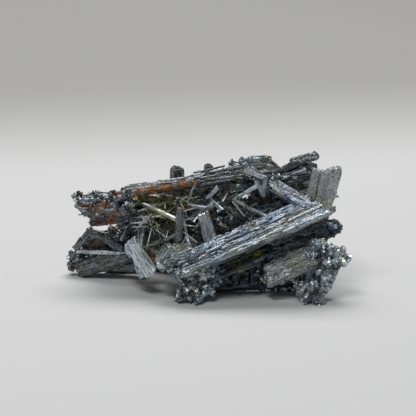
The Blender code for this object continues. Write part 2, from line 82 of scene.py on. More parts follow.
SPRAY = {
    "middle_foot": [
        lump(-9.4, 6.2, 1.1, 3.4),
        lump(-11.4, 3.0, 0.8, 2.9),
        lump(-4.8, 1.4, 0.0, 3.6),
        lump(-6.2, 4.6, 1.2, 3.7),
        lump(0.2, 4.6, 2.3, 3.2),
        lump(-3.2, 7.6, 3.8, 3.4),
        lump(2.6, 7.4, 4.2, 2.6),
        lump(0.8, 9.4, 6.1, 3.4),
        lump(4.4, 10.6, 6.8, 3.0),
        lump(-6.0, 11.0, 3.0, 3.6),
        lump(-1.6, 11.6, 4.2, 3.4),
    ],
    "front_blade": [
        blade(
            (-11.2, 14.2, 0.8), (44.6, 38.8, 9.8),
            10.6, 5, laths=5, lean=22, taper=0.8, ragged=0.3, cuts=(-0.3, 0.5),
        ),
        blade((-16.4, 17.6, 4.5), (-5.2, 21.6, 2.3), 6.0, 4.0, laths=2, lean=10),
        blade((-19.2, 16.4, 6.1), (-14.4, 23.2, 4.5), 4.4, 3.0, laths=1, lean=20),
        lump(-16.0, 15.2, 4.5, 4.0),
        lump(-10.8, 12.8, 2.6, 3.8),
        lump(-12.4, 19.6, 4.9, 3.0),
        lump(-17.6, 18.4, 6.8, 3.0),
        lump(-12.4, 21.8, 6.4, 2.4),
        lump(-4.0, 13.4, 1.4, 3.0),
        lump(0.4, 14.8, 2.2, 2.8),
    ],
    "right_shoulder": [
        blade((26.0, 22.4, 7.9), (48.4, 29.6, 12.9), 7.0, 5.0, laths=2, lean=-5, cuts=(0.6, 0.1)),
        lump(46.4, 26.6, 12.2, 2.8),
        blade((43.0, 29.6, 16.7), (52.8, 29.9, 13.2), 6.2, 5.6, laths=1, lean=15, point=ROUNDED),
    ],
    "tall_plate": [
        blade((44.8, 30.0, 16.7), (51.2, 54.8, 19.7), 7.2, 4.2, laths=1, lean=-8, taper=0.8, point=ROUNDED),
        blade((41.4, 34.0, 17.3), (45.8, 52.6, 20.4), 6.6, 3.4, laths=2, lean=-4, cuts=(0.0, -0.1)),
        lump(51.2, 43.2, 18.9, 1.9),
        lump(50.0, 37.6, 18.2, 1.8),
    ],
    "horn": [
        blade((26.0, 46.0, 25.0), (42.8, 51.6, 25.7), 6.0, 5.0, laths=2, ragged=0.5),
        blade((29.8, 52.2, 28.6), (38.4, 57.2, 27.0), 4.0, 3.8, laths=1),
        blade((33.8, 56.2, 27.8), (44.8, 59.2, 26.0), 3.6, 3.4, laths=1, lean=12, point=ROUNDED),
        lump(37.2, 56.6, 26.8, 2.4),
        lump(42.4, 54.6, 25.7, 2.2),
        blade((36.8, 52.4, 28.0), (44.0, 54.0, 25.7), 5.4, 4.4, laths=1),
        blade((37.2, 56.4, 27.3), (41.2, 46.8, 28.8), 4.4, 4.0, laths=1),
        blade((30.8, 45.2, 23.5), (42.0, 40.0, 15.9), 3.4, 2.8, laths=1),
        rod((29.4, 49.0, 25.7), (39.6, 53.6, 22.7), 1.8),
    ],
    "top_blade": [
        blade((-3.6, 49.6, 22.0), (27.6, 55.6, 25.0), 7.4, 3.6, laths=3, lean=24, taper=0.4, ragged=0.45),
        blade((21.4, 56.8, 25.7), (28.6, 51.4, 22.7), 5.4, 4.0, laths=1, lean=10),
        lump(10.2, 55.8, 25.0, 1.8),
        lump(14.6, 56.2, 25.7, 2.5),
        blade((16.8, 56.4, 25.7), (25.6, 57.0, 25.4), 4.6, 3.6, laths=1, point=ROUNDED),
    ],
    "ridge_rod": [
        blade((-32.8, 44.6, 22.0), (12.4, 51.8, 25.0), 3.8, 3.4, laths=2, lean=20, ragged=0.6),
        blade((-14.0, 46.8, 22.7), (15.6, 53.6, 24.2), 3.0, 2.6, laths=1, lean=30),
    ],
    "rusty_prism": [
        blade(
            (-52.4, 38.8, 25.7), (-28.0, 40.4, 19.7),
            8.0, 8.0, laths=2, lean=14, ragged=0.3, cuts=(0.75, 0.1),
        ),
        blade(
            (-47.0, 34.8, 25.4), (-29.5, 36.0, 20.4),
            5.0, 6.0, laths=1, lean=-10, ragged=0.4, cuts=(0.8, 0.3),
        ),
        blade((-46.6, 32.0, 25.0), (-34.0, 33.4, 21.2), 3.0, 4.0, laths=1),
        blade((-32.4, 39.6, 28.8), (-33.2, 39.8, 15.9), 6.6, 8.0, laths=1, lean=30),
        lump(-51.6, 42.0, 25.4, 3.1),
        lump(-44.8, 43.4, 24.6, 2.2),
        lump(-47.2, 38.4, 21.6, 3.0),
        lump(-41.2, 40.6, 20.4, 3.0),
        lump(-42.4, 36.4, 20.9, 2.8),
        lump(-37.4, 42.6, 20.9, 2.7),
        lump(-31.8, 43.0, 18.9, 3.1),
        lump(-31.6, 38.2, 16.4, 3.4),
    ],
    "silver_blade": [
        blade((-31.2, 25.0, 12.9), (-22.2, 11.4, 8.3), 4.8, 3.0, laths=3, lean=14, ragged=0.25),
        lump(-30.4, 23.4, 12.5, 2.4),
        lump(-26.0, 12.4, 10.6, 2.2),
        blade((-29.6, 21.8, 12.1), (-31.6, 20.0, 22.7), 3.4, 3.0, laths=1),
        blade((-28.8, 19.6, 12.5), (-25.4, 10.2, 11.4), 3.2, 2.6, laths=2, lean=-20, ragged=0.5),
    ],
    "left_foot": [
        blade((-52.0, 12.6, 31.0), (-29.6, 19.8, 25.7), 5.4, 5.2, laths=3, lean=12, ragged=0.4),
        blade((-53.6, 21.2, 32.6), (-46.4, 29.4, 30.3), 3.0, 2.4, laths=1),
        blade((-48.8, 28.8, 30.7), (-38.8, 25.6, 26.5), 3.2, 2.4, laths=1),
        blade((-43.2, 27.6, 28.8), (-34.0, 20.4, 25.7), 3.0, 2.6, laths=1),
        blade((-53.0, 20.4, 31.4), (-32.8, 19.6, 24.6), 1.9, 1.6, laths=1, lean=30),
        blade((-52.0, 17.0, 34.8), (-29.6, 25.0, 33.3), 8.0, 3.4, laths=1),
        blade((-51.0, 22.0, 35.8), (-31.0, 28.0, 32.0), 7.6, 3.0, laths=1),
        blade((-46.0, 14.6, 33.0), (-24.0, 13.8, 28.5), 5.6, 4.0, laths=1, lean=-20),
        lump(-54.4, 14.6, 32.2, 2.7),
        lump(-54.2, 18.2, 32.2, 3.0),
        lump(-52.0, 15.8, 31.8, 2.9),
        lump(-46.2, 13.6, 31.0, 2.9),
        lump(-42.8, 17.2, 30.3, 2.6),
        lump(-37.6, 28.6, 27.6, 2.9),
    ],
    "right_druse": [
        blade((41.0, 2.4, 6.2), (43.2, 22.4, 13.0), 8.0, 5.0, laths=1),
        blade((46.2, 6.4, 4.8), (51.6, 21.4, 9.6), 7.6, 5.4, laths=1),
        blade((43.6, 1.6, 0.0), (45.0, 3.6, 8.0), 5.0, 4.0, laths=1),
        blade((39.0, 3.0, 0.6), (41.4, 4.6, 7.4), 4.4, 4.0, laths=1),
        blade((40.6, 17.6, 6.4), (44.4, 24.0, 11.0), 4.4, 4.4, laths=1),
        lump(39.6, 1.8, 0.8, 3.2),
        lump(44.4, 0.9, -0.4, 3.2),
        lump(38.4, 6.6, 1.1, 2.6),
        lump(42.4, 6.8, 0.4, 2.8),
        lump(46.6, 5.8, 1.9, 2.8),
        lump(47.6, 9.4, 1.9, 2.9),
        lump(46.0, 12.4, 2.3, 2.8),
        lump(49.2, 12.0, 3.4, 2.9),
        lump(48.0, 16.0, 3.8, 3.0),
        lump(52.0, 16.6, 4.9, 3.0),
        lump(54.8, 17.4, 5.8, 3.1),
        lump(53.2, 20.6, 6.4, 2.9),
        lump(50.0, 21.6, 6.1, 2.8),
        lump(46.4, 23.6, 7.2, 2.8),
        lump(43.2, 23.2, 7.9, 3.0),
        lump(41.0, 18.6, 6.8, 2.6),
    ],
    "lower_blade": [
        blade((23.0, 10.0, 3.8), (42.0, 18.2, 7.2), 8.0, 4.0, laths=2, lean=16, ragged=0.4),
        lump(24.6, 9.6, 3.6, 2.8),
        lump(28.6, 9.2, 3.8, 2.7),
        blade((30.0, 15.6, 7.2), (42.4, 23.2, 9.5), 4.4, 3.4, laths=1, lean=10),
    ],
    "shadow_blade": [
        blade((4.8, 12.8, 6.8), (38.4, 26.6, 11.4), 5.4, 3.4, laths=2, lean=26, ragged=0.4),
        blade((13.2, 16.4, 9.8), (11.6, 6.8, 6.1), 3.6, 3.0, laths=1),
        blade((18.0, 15.6, 11.4), (18.8, 7.6, 7.6), 4.6, 3.4, laths=1),
        blade((8.4, 16.4, 9.1), (7.6, 9.6, 6.1), 3.0, 2.6, laths=1),
        blade((31.0, 22.6, 10.0), (27.0, 25.0, 32.0), 5.4, 4.4, laths=1),
        blade((12.0, 15.4, 8.0), (8.0, 22.0, 35.0), 5.4, 4.4, laths=1),
        blade((-4.0, 6.8, 10.6), (38.0, 9.8, 13.6), 6.6, 5.0, laths=1),
        blade((19.0, 9.0, 12.8), (20.4, 18.4, 11.0), 4.4, 4.0, laths=1),
        lump(14.4, 11.6, 9.8, 3.0),
        lump(18.0, 10.0, 9.8, 2.6),
        lump(21.2, 11.4, 9.4, 2.9),
        lump(10.0, 12.8, 9.1, 2.6),
        lump(23.0, 15.0, 9.4, 3.3),
    ],
    "centre_column": [
        blade((-1.6, 36.0, 13.2), (2.0, 23.0, 6.4), 4.6, 3.2, laths=3, lean=10, ragged=0.2),
    ],
    "left_column": [
        blade((-10.8, 38.4, 11.7), (-11.2, 24.6, 7.9), 2.8, 2.6, laths=1),
    ],
    "slant_plate": [
        blade((24.4, 48.8, 17.4), (40.4, 38.8, 9.8), 5.0, 4.4, laths=2, lean=26),
        blade((14.8, 52.8, 21.2), (24.4, 48.8, 15.9), 4.6, 3.6, laths=1, lean=20),
        rod((22.8, 42.4, 15.9), (19.6, 48.8, 14.4), 1.8),
        blade((22.4, 42.8, 15.9), (23.2, 49.6, 14.4), 2.8, 1.8, laths=1),
        lump(24.4, 46.8, 15.9, 2.6),
        lump(27.2, 50.0, 18.2, 2.4),
    ],
    "needle_tangle": [
        blade((-32.4, 38.0, 27.3), (3.6, 27.6, 22.7), 6.5, 4.6, laths=1, lean=10),
        blade((-29.2, 22.8, 26.5), (7.6, 41.2, 22.0), 6.5, 4.6, laths=1, lean=-10),
        blade((-34.0, 43.0, 26.5), (-2.0, 38.0, 22.7), 6.0, 4.6, laths=1),
        blade((-7.6, 19.0, 18.5), (12.4, 46.8, 22.0), 6.0, 4.2, laths=1, lean=15),
        blade((-1.6, 42.8, 22.7), (22.8, 28.0, 15.9), 6.5, 4.4, laths=1),
        blade((-24.4, 15.6, 21.2), (2.0, 22.4, 17.4), 5.6, 4.2, laths=1, lean=20),
        blade((8.4, 46.0, 22.0), (35.6, 48.4, 20.4), 6.0, 4.4, laths=1, lean=-5),
        blade((13.2, 26.8, 13.6), (33.2, 42.8, 18.2), 5.6, 4.4, laths=1),
        blade((-21.6, 39.2, 24.2), (-22.8, 30.0, 15.9), 3.6, 3.2, laths=1, lean=10),
        blade((-21.2, 31.6, 25.0), (-11.6, 31.2, 12.1), 3.4, 2.4, laths=1, lean=50),
        blade((-18.8, 41.6, 24.2), (-11.6, 40.8, 16.7), 3.2, 2.6, laths=1, lean=20),
        blade((2.0, 20.0, 4.0), (-3.0, 25.0, 21.0), 5.0, 4.0, laths=1),
        blade((20.0, 29.0, 8.0), (12.0, 35.0, 22.0), 4.4, 3.6, laths=1),
        blade((35.0, 36.0, 10.0), (31.0, 45.0, 24.0), 5.0, 4.0, laths=1),
        blade((-11.0, 19.0, 4.0), (-15.0, 21.0, 23.0), 5.0, 4.0, laths=1),
        rod((-29.6, 41.2, 25.7), (-11.6, 33.2, 11.4), 1.8),
        rod((-29.2, 38.4, 26.5), (-24.4, 32.4, 15.1), 1.1),
        rod((-27.2, 36.4, 26.5), (-27.6, 22.0, 13.6), 1.7),
        rod((-24.4, 35.6, 26.1), (-26.4, 22.4, 14.4), 1.3),
        rod((-28.8, 35.2, 26.5), (-34.8, 24.8, 21.2), 1.3),
        rod((-27.2, 22.0, 26.1), (-12.0, 27.2, 9.5), 1.5),
        rod((-10.4, 38.2, 23.5), (-7.6, 24.4, 9.1), 1.1),
        rod((-9.6, 39.6, 23.5), (-0.4, 38.0, 13.6), 1.5),
        rod((-8.4, 33.0, 24.2), (2.8, 39.6, 12.9), 2.1),
        rod((-8.0, 40.0, 23.5), (-4.4, 48.4, 14.4), 1.0),
        rod((-1.6, 40.0, 22.0), (4.4, 46.4, 16.7), 1.8),
        rod((9.6, 40.8, 20.4), (20.0, 46.8, 14.4), 1.5),
        rod((9.6, 41.6, 19.7), (24.0, 34.4, 9.8), 1.6),
        rod((1.2, 41.6, 20.4), (6.0, 37.2, 13.6), 1.6),
        rod((9.2, 39.2, 20.4), (4.0, 36.4, 12.9), 1.3),
        rod((-14.2, 27.0, 24.2), (-18.8, 16.4, 10.6), 2.6),
        rod((-24.0, 22.4, 25.7), (-16.4, 18.4, 12.1), 1.5),
        rod((-10.8, 20.6, 19.3), (-3.6, 23.6, 9.8), 1.3),
        lump(7.6, 32.8, 15.1, 4.0),
    ],
    "rear_stump": [
        blade((-12.4, 42.0, 34.8), (-12.0, 53.6, 33.3), 6.0, 5.0, laths=1, lean=10, cuts=(0.0, 0.15)),
        blade((2.0, 47.6, 34.8), (0.4, 55.4, 33.3), 3.8, 3.4, laths=1, point=ROUNDED),
        blade((-30.0, 43.0, 37.9), (20.0, 50.0, 31.8), 7.0, 5.0, laths=2, lean=-15),
    ],
    "rear_left_blade": [
        blade((-36.0, 32.6, 35.6), (14.0, 41.6, 37.9), 11.0, 5.0, laths=3, lean=10, ragged=0.4),
    ],
    "rear_low_blade": [
        blade((-36.0, 20.4, 34.1), (4.0, 34.4, 28.8), 9.0, 4.6, laths=2, lean=0, ragged=0.5),
    ],
    "rear_upper_blade": [
        blade((6.0, 30.4, 33.3), (42.0, 49.2, 34.1), 10.0, 4.6, laths=2, lean=5, ragged=0.5),
    ],
    "rear_cross_blade": [
        blade((-26.0, 14.6, 39.4), (45.0, 40.6, 30.3), 11.0, 5.4, laths=2, lean=-10, ragged=0.5),
    ],
    "rear_strut": [
        blade((30.0, 14.8, 41.6), (35.6, 38.6, 32.0), 9.0, 5.0, laths=2, lean=0, ragged=0.4),
        lump(29.6, 15.0, 39.4, 4.0),
        lump(33.6, 15.4, 37.1, 3.4),
    ],
}

# slot, lightness, dullness, rust, blue tarnish, depth of relief in mm, chips and strips per square mm
Look = namedtuple("Look", "slot tone dull rust blue relief chips strips")
HIDDEN_BLADES = ("rear_left_blade", "rear_low_blade", "rear_upper_blade", "rear_cross_blade", "rear_strut")
LOOKS = {
    "middle_foot": Look("dark_druse", 1.0, 0.1, 0.05, 0.1, 0.2, 0.20, 0.0),
    "front_blade": Look("lead_grey_stibnite", 0.68, 0.35, 0.02, 0.6, 0.17, 0.14, 0.07),
    "right_shoulder": Look("dull_grey_stibnite", 0.2, 0.6, 0.0, 0.3, 0.3, 0.16, 0.03),
    "tall_plate": Look("dull_grey_stibnite", 1.0, 1.0, 0.03, 0.05, 0.12, 0.0, 0.0),
    "horn": Look("lead_grey_stibnite", 0.36, 0.45, 0.04, 0.1, 0.26, 0.10, 0.04),
    "top_blade": Look("lead_grey_stibnite", 0.46, 0.6, 0.04, 0.05, 0.2, 0.12, 0.05),
    "ridge_rod": Look("rust_stained_stibnite", 0.34, 0.8, 0.2, 0.0, 0.18, 0.05, 0.04),
    "rusty_prism": Look("rust_stained_stibnite", 0.27, 0.45, 0.25, 0.05, 0.4, 0.12, 0.0),
    "silver_blade": Look("bright_stibnite", 1.0, 0.0, 0.0, 0.08, 0.65, 0.15, 0.2),
    "left_foot": Look("dark_druse", 0.36, 0.55, 0.2, 0.1, 0.28, 0.12, 0.03),
    "right_druse": Look("dark_druse", 0.95, 0.05, 0.02, 0.1, 0.25, 0.25, 0.0),
    "lower_blade": Look("dull_grey_stibnite", 0.6, 0.8, 0.04, 0.05, 0.2, 0.04, 0.1),
    # shadow_blade's low lightness is painted shade under the front blade
    "shadow_blade": Look("dark_druse", 0.10, 0.3, 0.0, 0.5, 0.26, 0.14, 0.03),
    "centre_column": Look("lead_grey_stibnite", 0.6, 0.4, 0.05, 0.1, 0.16, 0.03, 0.10),
    "left_column": Look("lead_grey_stibnite", 0.36, 0.5, 0.05, 0.0, 0.14, 0.02, 0.06),
    "slant_plate": Look("lead_grey_stibnite", 0.42, 0.5, 0.02, 0.4, 0.13, 0.06, 0.04),
    # needle_tangle's low lightness is painted shade deep inside the spray
    "needle_tangle": Look("lead_grey_stibnite", 0.13, 0.3, 0.2, 0.1, 0.35, 0.40, 0.03),
    "rear_stump": Look("lead_grey_stibnite", 0.28, 0.8, 0.06, 0.05, 0.12, 0.0, 0.0),
    **dict.fromkeys(HIDDEN_BLADES, Look("lead_grey_stibnite", 0.3, 0.4, 0.2, 0.2, 0.3, 0.12, 0.04)),
}

# How much painted highlight a node's crystals, or the one with a given number, get: a whitish colour in place
# of the glint of bright, fresh metal
PAINTED_SHEEN = {"silver_blade": 0.9, "centre_column": 0.35, "left_column": 0.1, ("slant_plate", 3): 0.25}
CHIP_PAINTED_SHEEN = 1.6  # the most painted glint that chips and strips on them get, as a multiple of their crystal's painted sheen

# Crystals, by number in their node, painted darker than the rest of it: painted shade where they lie under or
# behind other crystals
PAINTED_SHADE = {
    ("slant_plate", 1): -0.6,
    ("right_shoulder", 0): -0.6,
    ("shadow_blade", 0): -0.5,
    ("left_foot", 5): -0.8,
    ("left_foot", 6): -0.5,
}

# Small knots on the solids of their node, which are too fine to be solids
MORE = {
    "front_blade": [lump(3.2, 13.6, 4.4, 2.3), lump(6.0, 12.6, 6.0, 1.8)],
    "right_shoulder": [
        lump(52.2, 30.2, 12.6, 2.5),
        lump(50.0, 28.4, 12.6, 2.2),
        lump(51.0, 32.0, 13.6, 1.9),
    ],
    "right_druse": [lump(36.4, 7.6, 2.0, 2.2), lump(35.2, 9.6, 3.4, 2.0), lump(37.2, 4.2, 1.6, 2.1)],
    "shadow_blade": [lump(15.0 + 3.6 * i, 6.1, 12.6 + 0.15 * i, 1.9) for i in range(7)],
    "left_foot": [
        lump(-47.6, 18.4, 30.4, 1.7),
        lump(-43.8, 18.8, 29.8, 1.8),
        lump(-40.0, 19.4, 28.8, 1.5),
    ],
}

# Stained places on the display view: across, up, radius, strength
RUST_SPOTS = [
    (-49, 40, 4, 0.50),
    (-43, 38, 6, 0.50),
    (-41, 39, 2.5, 0.64),
    (-37.5, 35.7, 3.5, 0.60),
    (-43.5, 32, 3.5, 0.62),
    (-36, 43.3, 2, 0.75),
    (-38, 32.6, 3, 0.64),
    (-22, 45.0, 3.2, 1.0),
    (-16, 45.9, 3.2, 1.0),
    (-10, 46.8, 2.8, 1.0),
    (-27, 44.2, 3, 0.8),
    (-26, 43.2, 1.3, 1.0),
    (-5, 47.6, 2.4, 0.7),
    (-10.2, 38.6, 2.0, 0.85),
    (0, 36, 3, 0.55),
    (-24, 19, 5, 0.55),
    (-46, 22, 5, 0.36),
    (-12, 22, 3, 0.55),
    (8, 45, 3, 0.45),
    (-21, 41, 2, 0.6),
    (23, 42, 2, 0.6),
]
BLUE_SPOTS = [
    (28.6, 36.4, 2.2, 1.0),
    (24.4, 33.4, 2.0, 1.0),
    (0, 22, 3.5, 0.7),
    (16, 29, 3, 0.5),
    (33, 40, 4, 0.5),
    (49, 29, 3, 0.8),
    (32, 43, 3, 0.6),
    (26, 22, 2.5, 0.8),
]
GOLD_SPOTS = [
    (20.4, 19.8, 1.6, 2.0),
    (-26, 42.2, 1.8, 1.0),
    (-19, 37, 6, 0.65),
    (12, 14.5, 3, 0.3),
    (-12, 22.4, 2.5, 0.6),
    (48, 40, 1.6, 0.5),
    (-8, 40, 4, 0.3),
    (-22, 21, 5, 0.35),
    (10, 40, 4, 0.25),
]

# Ridges and hollows of a lath's skin: width round it and reach along it in mm, and share of the relief
RIDGES = ((0.6, 3.5, 0.6), (1.2, 6.0, 0.9), (2.6, 14.0, 1.0), (0.9, 1.3, 0.7), (2.4, 3.6, 1.1))
PIT_LEVEL = 0.7  # pits are where their noise is above this
PIT_DEPTH = 7  # how much faster a pit deepens than its noise rises above that level
LEAST_STEP = 0.22  # distance between points round a lath, in mm
RING_STEP = 0.5  # distance between rings along a lath, in mm
FEWEST_RINGS, MOST_RINGS = 5, 110
BAND_RANGE = 400  # each crystal takes its streaks from a random place in the noise, up to this far off, in mm

# The two sizes of crystal in a knot: how many, their reach and thickness as shares of the knot's radius,
# where they start and how long they are as shares of their reach, how far they lean off, and their sides
KnotCrystals = namedtuple("KnotCrystals", "count low high width root length stray sides")
KNOT_CRYSTALS = (
    KnotCrystals(12, 0.80, 1.05, 0.85, 0.1, 0.9, 0.25, 6),
    KnotCrystals(9, 0.85, 1.06, 0.42, 0.55, 0.45, 0.7, 5),
)
GLINT_CHANCE = 0.09  # some of a knot's crystals get a painted glint this strong
GLINT_BRIGHT = 0.8

# Hair-fine needles: how many are tried, and the limits in metres past which one is left out
NEEDLES_TRIED = 640
NEEDLE_CORE_WIDTH = 3  # they grow on the tangle's crystals wider than this, in mm
NEEDLE_LOWEST = 0.014
NEEDLE_ROOF = 0.040  # highest over the world's origin, and how much more for each metre to the right
NEEDLE_ROOF_RISE = 0.12
NEEDLE_FRONT = -0.017

PAPER_NEAR = (0.62, 0.62, 0.61)
PAPER_FAR_SHADE = (0.36, 0.354, 0.343)
PAPER_FADE = (0.125, 0.270)  # how far behind the origin the far colour, painted shade, begins and is reached
PAPER_FADE_SKEW = -0.10  # less of that for each metre to the right
PAPER_REACH = 6

ROOM_COLOUR = (0.72, 0.78, 0.85, 1)
ROOM_STRENGTH = 0.15

SENSOR_MM = 36
CAMERA_DISTANCE = 1.6
CAMERA_VIEW = 0.1664  # width of the view at the specimen
CAMERA_AIM = (0.4, 38.0, 15.0)  # in the layout


def place(across, up, back):
    """World position in metres of a place on the display view."""
    height = (up - back * VIEWER_UP.y) / VIEWER_UP.z
    return Vector((across - MIDDLE_ACROSS, back - MIDDLE_BACK, height)) * MM


def facing(axis, lean):
    """The unit normal of a crystal's broad face: square to its axis, towards the viewer, turned up by lean
    degrees, or to the right where the crystal is upright."""
    normal = (TO_VIEWER - axis * TO_VIEWER.dot(axis)).normalized()
    sideways = axis.cross(normal)
    if sideways.dot(VIEWER_UP + Vector((0.5, 0, 0))) < 0:
        sideways.negate()
    angle = math.radians(lean)
    return normal * math.cos(angle) + sideways * math.sin(angle)


def laths_of(crystal, chance):
    """The single crystals in a blade, side by side across its width."""
    foot, tip = place(*crystal.foot), place(*crystal.tip)
    axis = (tip - foot).normalized()
    face = facing(axis, crystal.lean)
    side = axis.cross(face)
    made = []
    share = crystal.width / crystal.laths
    for i in range(crystal.laths):
        offset = (i + 0.5) * share - crystal.width / 2
        width = share * (chance.uniform(1.25, 1.6) if crystal.laths > 1 else 1)
        thick = crystal.thick * (chance.uniform(0.65, 1.0) if crystal.laths > 1 else 1)
        proud = chance.uniform(-0.5, 0.5) * (crystal.thick - thick)
        slip = [crystal.ragged * crystal.width * chance.uniform(-0.5, 0.5) for _ in range(2)]
        cuts = [cut + chance.uniform(-0.25, 0.25) for cut in crystal.cuts]
        foot_slip, tip_slip = (slip[j] + crystal.cuts[j] * offset for j in range(2))
        start = foot + (side * offset * crystal.taper + face * proud + axis * foot_slip) * MM
        end = tip + (side * offset + face * proud + axis * tip_slip) * MM
        section = BLADE_SECTION if crystal.width > NEEDLE_WIDTH else NEEDLE_SECTION
        made.append(Lath(start, end, side, face, width, thick, *cuts, crystal.taper, crystal.point, section))
    return made


def lattice_noise(x, y, seed):
    """Smooth noise from 0 to 1 on a unit lattice."""
    column, row = np.floor(x).astype(np.int64), np.floor(y).astype(np.int64)
    u, v = x - column, y - row
    u, v = u * u * (3 - 2 * u), v * v * (3 - 2 * v)

    def corner(i, j):
        """A fixed random number from 0 to 1 for each corner of the lattice."""
        mixed = (column + i) * 374761393 + (row + j) * 668265263 + seed * 974634777
        mixed = (mixed ^ (mixed >> 13)) * 1274126177
        return ((mixed ^ (mixed >> 16)) & 65535) / 65535

    low = corner(0, 0) * (1 - u) + corner(1, 0) * u
    high = corner(0, 1) * (1 - u) + corner(1, 1) * u
    return low * (1 - v) + high * v


class Growth:
    """The vertices, faces and surface values of one visual piece as it grows."""

    def __init__(self):
        self.points, self.faces, self.values = [], [], []
        self.count = 0

    def add(self, points, faces, grain, tone, painted_glint=0.0):
        """points in metres, faces as indices into them, and grain in mm, tone, painted shade included, and
        painted glint per point.
        """
        points = np.asarray(points, float)
        count = len(points)
        self.points.append(points)
        self.faces += [tuple(i + self.count for i in face) for face in faces]
        extra = np.broadcast_to(tone, count), np.broadcast_to(painted_glint, count)
        self.values.append(np.column_stack([np.asarray(grain, float), *extra]))
        self.count += count


def ring_faces(rings, sides):
    """Quads of a tube whose points run ring after ring."""
    low = np.arange(rings - 1)[:, None] * sides + np.arange(sides)[None, :]
    turned = np.arange(rings - 1)[:, None] * sides + (np.arange(sides)[None, :] + 1) % sides
    return np.stack([low, turned, turned + sides, low + sides], axis=-1).reshape(-1, 4).tolist()


def outline(section, half_width, half_thick, step):
    """Points round a section about step apart, with their outward normals and their distance round it."""
    corners = np.array([(x * half_width, y * half_thick) for x, y in section])
    following = np.roll(corners, -1, axis=0)
    places, normals, walked = [], [], []
    distance = 0.0
    for start, end in zip(corners, following):
        length = np.linalg.norm(end - start)
        count = max(1, int(round(length / step)))
        share = np.arange(count)[:, None] / count
        places.append(start + (end - start) * share)
        away = np.array([end[1] - start[1], start[0] - end[0]]) / max(length, 1e-9)
        if away.dot(start + end) < 0:
            away = -away
        normals.append(np.repeat(away[None, :], count, axis=0))
        walked.append(distance + share[:, 0] * length)
        distance += length
    return np.vstack(places), np.vstack(normals), np.concatenate(walked)


def add_lath(piece, lath, look, chance, painted_glint, painted_shade=0.0):
    """One crystal with ridges along it, pits, knocks, a wandering outline and worn, broken ends."""
    foot, tip = np.array(lath.foot), np.array(lath.tip)
    length = np.linalg.norm(tip - foot) / MM
    axis = (tip - foot) / MM / length
    side, face = np.array(lath.side), np.array(lath.face)
    step = max(LEAST_STEP, lath.width / 18)
    flat, normal, walked = outline(lath.section, lath.width / 2, lath.thick / 2, step)
    sides = len(flat)
    rings = int(np.clip(length / RING_STEP, FEWEST_RINGS, MOST_RINGS))
    along = np.linspace(0, 1, rings)[:, None]
    seed = chance.randrange(1 << 20)
    stretch = length * along
    around = walked[None, :]
    strength = look.relief * min(1.0, lath.width / 3.5)
    relief = 0.0
    for width, reach, depth in RIDGES:
        ridge = lattice_noise(around / width + 31, stretch / reach + 17, seed + int(width * 10))
        relief = relief + (ridge - 0.5) * depth
    pit = lattice_noise(around / 1.4 + 5, stretch / 2.4 + 9, seed + 1)
    relief = (relief - np.clip(pit - PIT_LEVEL, 0, 1) * PIT_DEPTH) * strength
    sway = (lattice_noise(stretch / 6.0, stretch * 0 + 0.5, seed + 2) - 0.5) * 1.6 * strength
    swell = 1 + (lattice_noise(stretch / 5.0, stretch * 0 + 3.5, seed + 6) - 0.5) * 0.5 * strength
    end_run = np.minimum(0.3 * lath.width * BLUNT / lath.tip_size, 0.35 * length)
    near_tip = np.clip((stretch - length + end_run) / end_run, 0, 1)
    near_foot = np.clip((0.3 * end_run - stretch) / (0.3 * end_run), 0, 1)
    size = lath.foot_size + (1 - lath.foot_size) * along
    rounding = 1 - np.sqrt(1 - 0.96 * near_tip**2)
    size = size * (1 - (1 - lath.tip_size) * rounding) * (1 - 0.2 * near_foot**2) * swell
    across = flat[None, :, 0] * size + normal[None, :, 0] * relief + sway
    through = flat[None, :, 1] * size + normal[None, :, 1] * relief
    broken = (0.16 if lath.tip_size == BLUNT else 0.05) * min(lath.width, 3.5)
    foot_break = lattice_noise(walked / 1.1, walked * 0 + 0.5, seed + 3) - 0.5
    tip_break = lattice_noise(walked / 1.1, walked * 0 + 7.5, seed + 4) - 0.5
    start = foot_break * broken + lath.foot_cut * flat[:, 0]
    end = tip_break * broken + lath.tip_cut * flat[:, 0]
    reach = start[None, :] * (1 - along) ** 4 + end[None, :] * along**4 + stretch
    points = foot + (across[..., None] * side + through[..., None] * face + reach[..., None] * axis) * MM
    band = chance.uniform(0, BAND_RANGE)
    grain = np.zeros((*across.shape, 3))
    grain[..., 0] = around + band
    grain[..., 1] = stretch + band
    # tone: a random mottle, the crystal's painted shade, and painted shade that darkens the grooves and pits
    # of the relief
    mottle = (lattice_noise(around / 0.7, stretch / 4, seed + 5) - 0.5) * 0.7
    tone = 0.5 + painted_shade + mottle + relief * 1.3
    faces = ring_faces(rings, sides)
    piece.add(points.reshape(-1, 3), faces, grain.reshape(-1, 3), tone.reshape(-1), painted_glint)
    for ring, deep in ((0, -1.0), (rings - 1, 1.0)):
        close_end(piece, points[ring], axis * deep, lath.width, chance, ring == 0)


def close_end(piece, rim, outward, width, chance, flip):
    """A broken end: the rim, a sunk ring inside it, and a middle."""
    sides = len(rim)
    middle = rim.mean(axis=0)
    inner = middle + (rim - middle) * 0.55
    dips = np.array([chance.uniform(-0.10, 0.06) for _ in range(sides)]) * width * MM
    inner = inner + outward * dips[:, None]
    centre = middle + outward * chance.uniform(-0.12, 0.06) * width * MM
    points = np.vstack([rim, inner, centre[None, :]])
    faces = ring_faces(2, sides) + [(sides + i, sides + (i + 1) % sides, 2 * sides) for i in range(sides)]
    if flip:
        faces = [face[::-1] for face in faces]
    grain = (points - middle) / MM * 2.0
    piece.add(points, faces, grain, 0.35)


